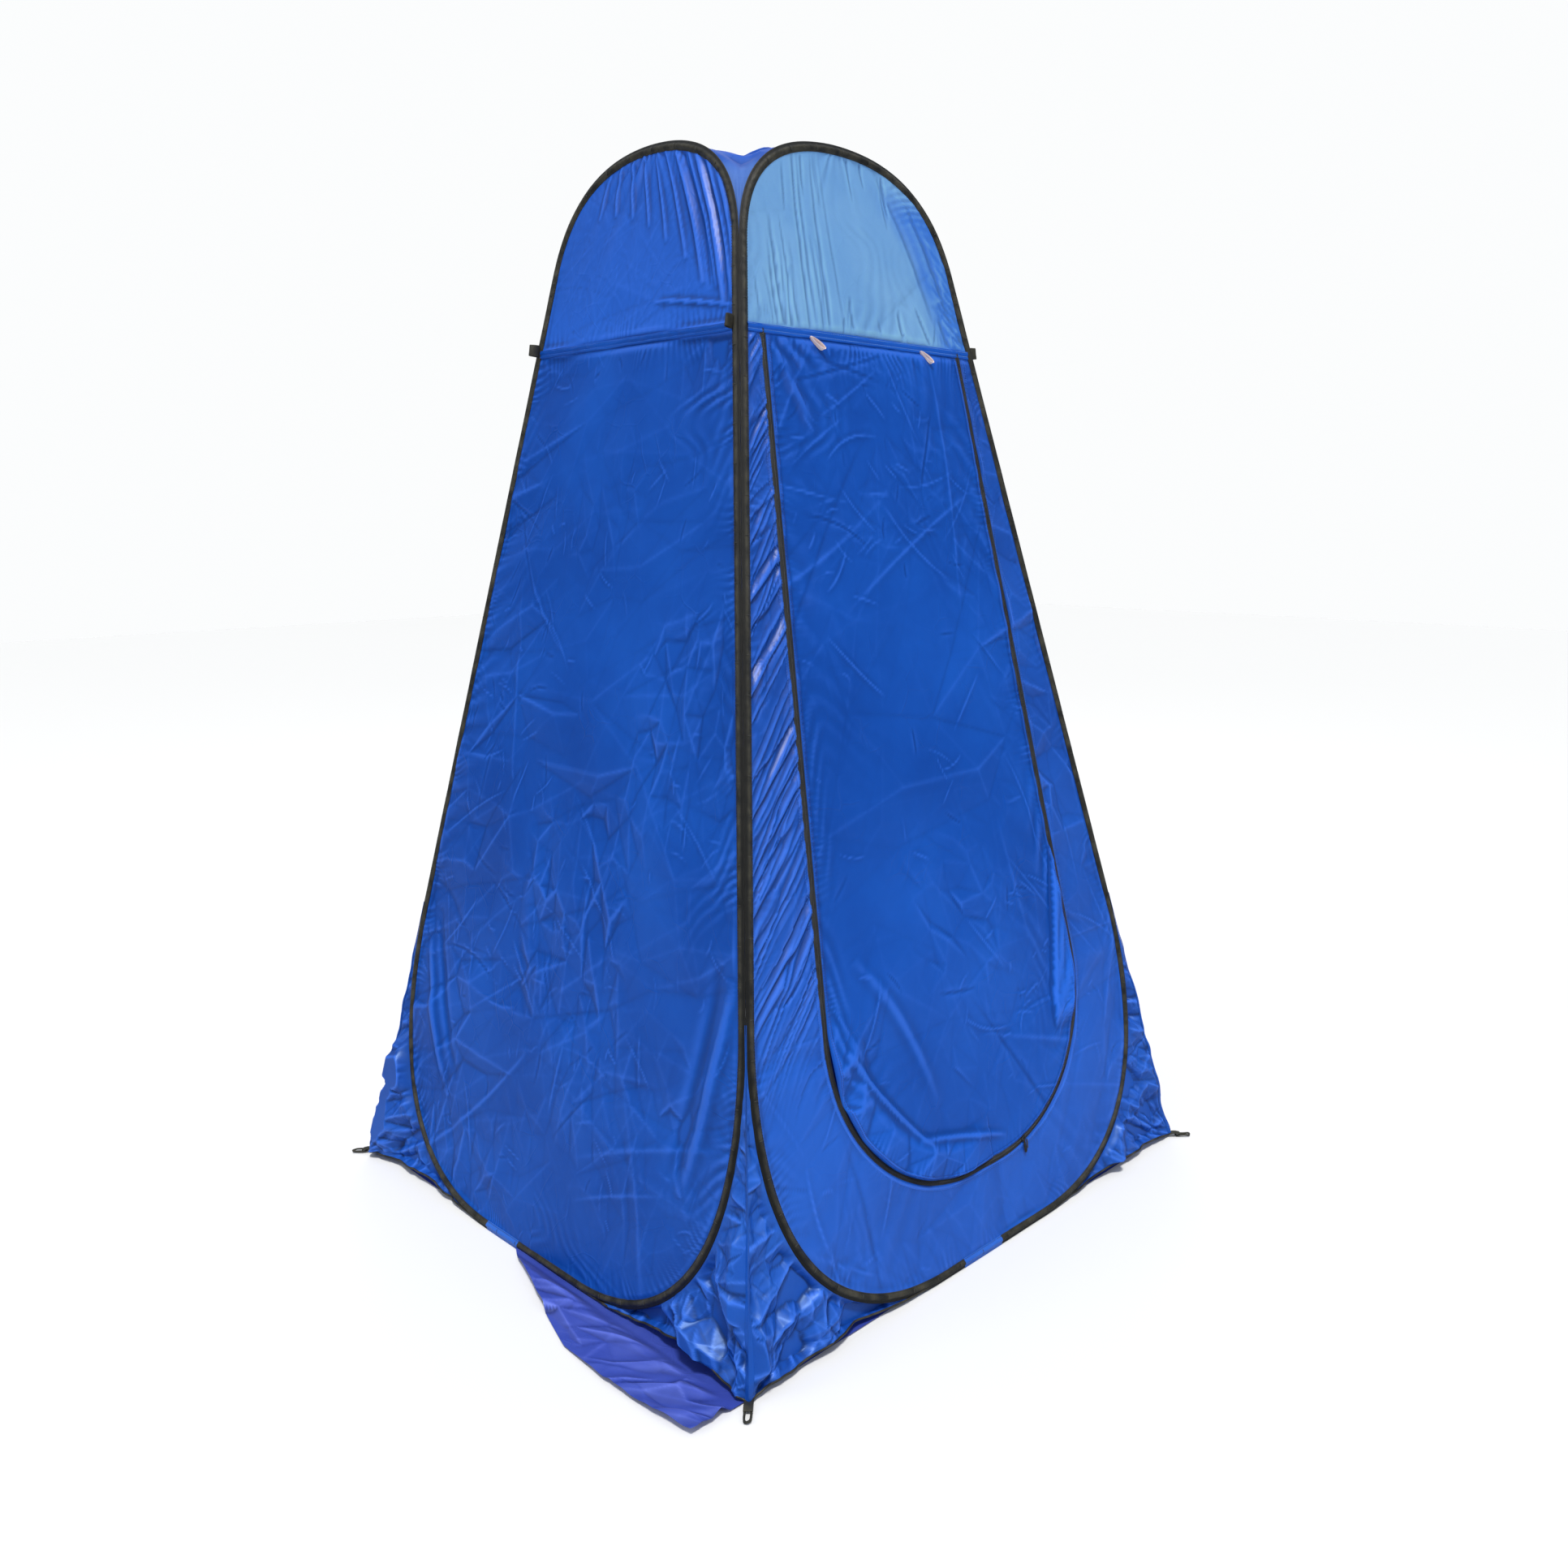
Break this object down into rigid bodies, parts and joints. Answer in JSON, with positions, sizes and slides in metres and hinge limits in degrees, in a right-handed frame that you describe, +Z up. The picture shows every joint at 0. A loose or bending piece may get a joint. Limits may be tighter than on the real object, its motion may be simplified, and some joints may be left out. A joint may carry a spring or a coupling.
{
  "type": "privacy shower tent",
  "caption": "Square pop-up changing and shower tent: spring-steel hoop walls leaning in to a small roof, zipped roll-up door flap, loose groundsheet and webbing loops.",
  "frame": {"origin": "on the ground under the centre of the square base", "axes": "+Z up; the door panel faces -Y and the plain panel seen beside it faces -X"},
  "size_m": [1.3518, 1.2736, 1.8961],
  "materials": {
    "shell_blue": "coated polyester, slight sheen",
    "vent_pale_blue": "thin translucent polyester",
    "binding_dark": "woven binding tape",
    "spring_steel": "drawn wire",
    "ferrule_steel": "crimped",
    "zip_black": "satin",
    "zip_tape_dark": "woven tape",
    "ribbon_pale": "satin ribbon",
    "webbing_dark": "woven webbing",
    "groundsheet_violet": "coated polyester"
  },
  "bodies": {
    "front_panel": {"front_hoop_wire": "spring_steel", "front_hoop_ferrule": "ferrule_steel", "front_hoop_sleeve": "binding_dark", "front_sleeve_patch": "shell_blue", "front_upper_panel": "vent_pale_blue", "front_door_surround": "shell_blue", "front_skirt_left": "shell_blue", "front_skirt_right": "shell_blue", "door_section_1": "shell_blue", "zip_tape": "zip_tape_dark", "roof_panel": "shell_blue", "peg_loop_front_left": "webbing_dark"},
    "left_panel": {"left_hoop_wire": "spring_steel", "left_hoop_ferrule": "ferrule_steel", "left_hoop_sleeve": "binding_dark", "left_sleeve_patch": "shell_blue", "left_upper_panel": "shell_blue", "left_lower_panel": "shell_blue", "left_skirt_left": "shell_blue", "left_skirt_right": "shell_blue", "guy_loop_front_left": "webbing_dark", "guy_loop_back_left": "webbing_dark", "peg_loop_back_left": "webbing_dark"},
    "right_panel": {"right_hoop_wire": "spring_steel", "right_hoop_ferrule": "ferrule_steel", "right_hoop_sleeve": "binding_dark", "right_sleeve_patch": "shell_blue", "right_upper_panel": "shell_blue", "right_lower_panel": "shell_blue", "right_skirt_left": "shell_blue", "right_skirt_right": "shell_blue", "guy_loop_front_right": "webbing_dark", "guy_loop_back_right": "webbing_dark", "peg_loop_front_right": "webbing_dark"},
    "back_panel": {"back_hoop_wire": "spring_steel", "back_hoop_ferrule": "ferrule_steel", "back_hoop_sleeve": "binding_dark", "back_sleeve_patch": "shell_blue", "back_upper_panel": "shell_blue", "back_lower_panel": "shell_blue", "back_skirt_left": "shell_blue", "back_skirt_right": "shell_blue", "peg_loop_back_right": "webbing_dark"},
    "door_2": {"door_section_2": "shell_blue"},
    "door_3": {"door_section_3": "shell_blue"},
    "door_4": {"door_section_4": "shell_blue"},
    "door_5": {"door_section_5": "shell_blue"},
    "door_6": {"door_section_6": "shell_blue"},
    "zip_slider": {"zip_slider": "zip_black"},
    "zip_pull": {"zip_pull_tab": "zip_black", "zip_pull_strip": "zip_black"},
    "toggle_left": {"toggle_left_loop": "ribbon_pale"},
    "toggle_right": {"toggle_right_loop": "ribbon_pale"},
    "groundsheet": {"groundsheet": "groundsheet_violet"}
  },
  "joints": [
    {"name": "panel_fold", "type": "hinge", "parent": "front_panel", "child": "left_panel", "pos_m": [-0.43875, -0.43875, 0.78275], "axis": [-0.1926, -0.1926, -0.9622], "range_deg": [0, 88], "deforming": ["roof_panel", "groundsheet"]},
    {"name": "right_panel_fold", "type": "hinge", "parent": "front_panel", "child": "right_panel", "pos_m": [0.44297, -0.44297, 0.78444], "axis": [0.1926, -0.1926, -0.9622], "range_deg": [0, 88]},
    {"name": "back_panel_fold", "type": "hinge", "parent": "left_panel", "child": "back_panel", "pos_m": [-0.44297, 0.44297, 0.78444], "axis": [0.1926, -0.1926, 0.9622], "range_deg": [0, 88]},
    {"name": "door_roll_1", "type": "hinge", "parent": "front_panel", "child": "door_2", "pos_m": [0, -0.346, 1.27495], "axis": [-1, 0, 0], "range_deg": [0, 178]},
    {"name": "door_roll_2", "type": "hinge", "parent": "door_2", "child": "door_3", "pos_m": [0, -0.38848, 1.05052], "axis": [1, 0, 0], "range_deg": [0, 178]},
    {"name": "door_roll_3", "type": "hinge", "parent": "door_3", "child": "door_4", "pos_m": [0, -0.43567, 0.82703], "axis": [-1, 0, 0], "range_deg": [0, 178]},
    {"name": "door_roll_4", "type": "hinge", "parent": "door_4", "child": "door_5", "pos_m": [0, -0.47815, 0.6026], "axis": [1, 0, 0], "range_deg": [0, 178]},
    {"name": "door_roll_5", "type": "hinge", "parent": "door_5", "child": "door_6", "pos_m": [0, -0.52533, 0.37912], "axis": [-1, 0, 0], "range_deg": [0, 178]},
    {"name": "zip_travel", "type": "hinge", "parent": "front_panel", "child": "zip_slider", "pos_m": [0.04, -0.51054, 0.44688], "axis": [0, -0.9805, 0.1963], "range_deg": [-13, 80]},
    {"name": "zip_pull_hinge", "type": "hinge", "parent": "zip_slider", "child": "zip_pull", "pos_m": [0.11322, -0.57299, 0.16194], "axis": [-1, 0, 0], "range_deg": [0, 90]},
    {"name": "toggle_left_hinge", "type": "hinge", "parent": "front_panel", "child": "toggle_left", "pos_m": [-0.124, -0.28515, 1.58095], "axis": [-1, 0, 0], "range_deg": [0, 150]},
    {"name": "toggle_right_hinge", "type": "hinge", "parent": "front_panel", "child": "toggle_right", "pos_m": [0.145, -0.28515, 1.58095], "axis": [-1, 0, 0], "range_deg": [0, 150]},
    {"name": "groundsheet_slide", "type": "slide", "parent": "front_panel", "child": "groundsheet", "axis": [-1, 0, 0], "range_m": [-0.11, 1.25]}
  ],
  "couplings": [
    {"joint": "right_panel_fold", "follows": "panel_fold", "ratio": 1},
    {"joint": "back_panel_fold", "follows": "panel_fold", "ratio": 1},
    {"joint": "door_roll_2", "follows": "door_roll_1", "ratio": 1},
    {"joint": "door_roll_3", "follows": "door_roll_1", "ratio": 1},
    {"joint": "door_roll_4", "follows": "door_roll_1", "ratio": 1},
    {"joint": "door_roll_5", "follows": "door_roll_1", "ratio": 1}
  ]
}
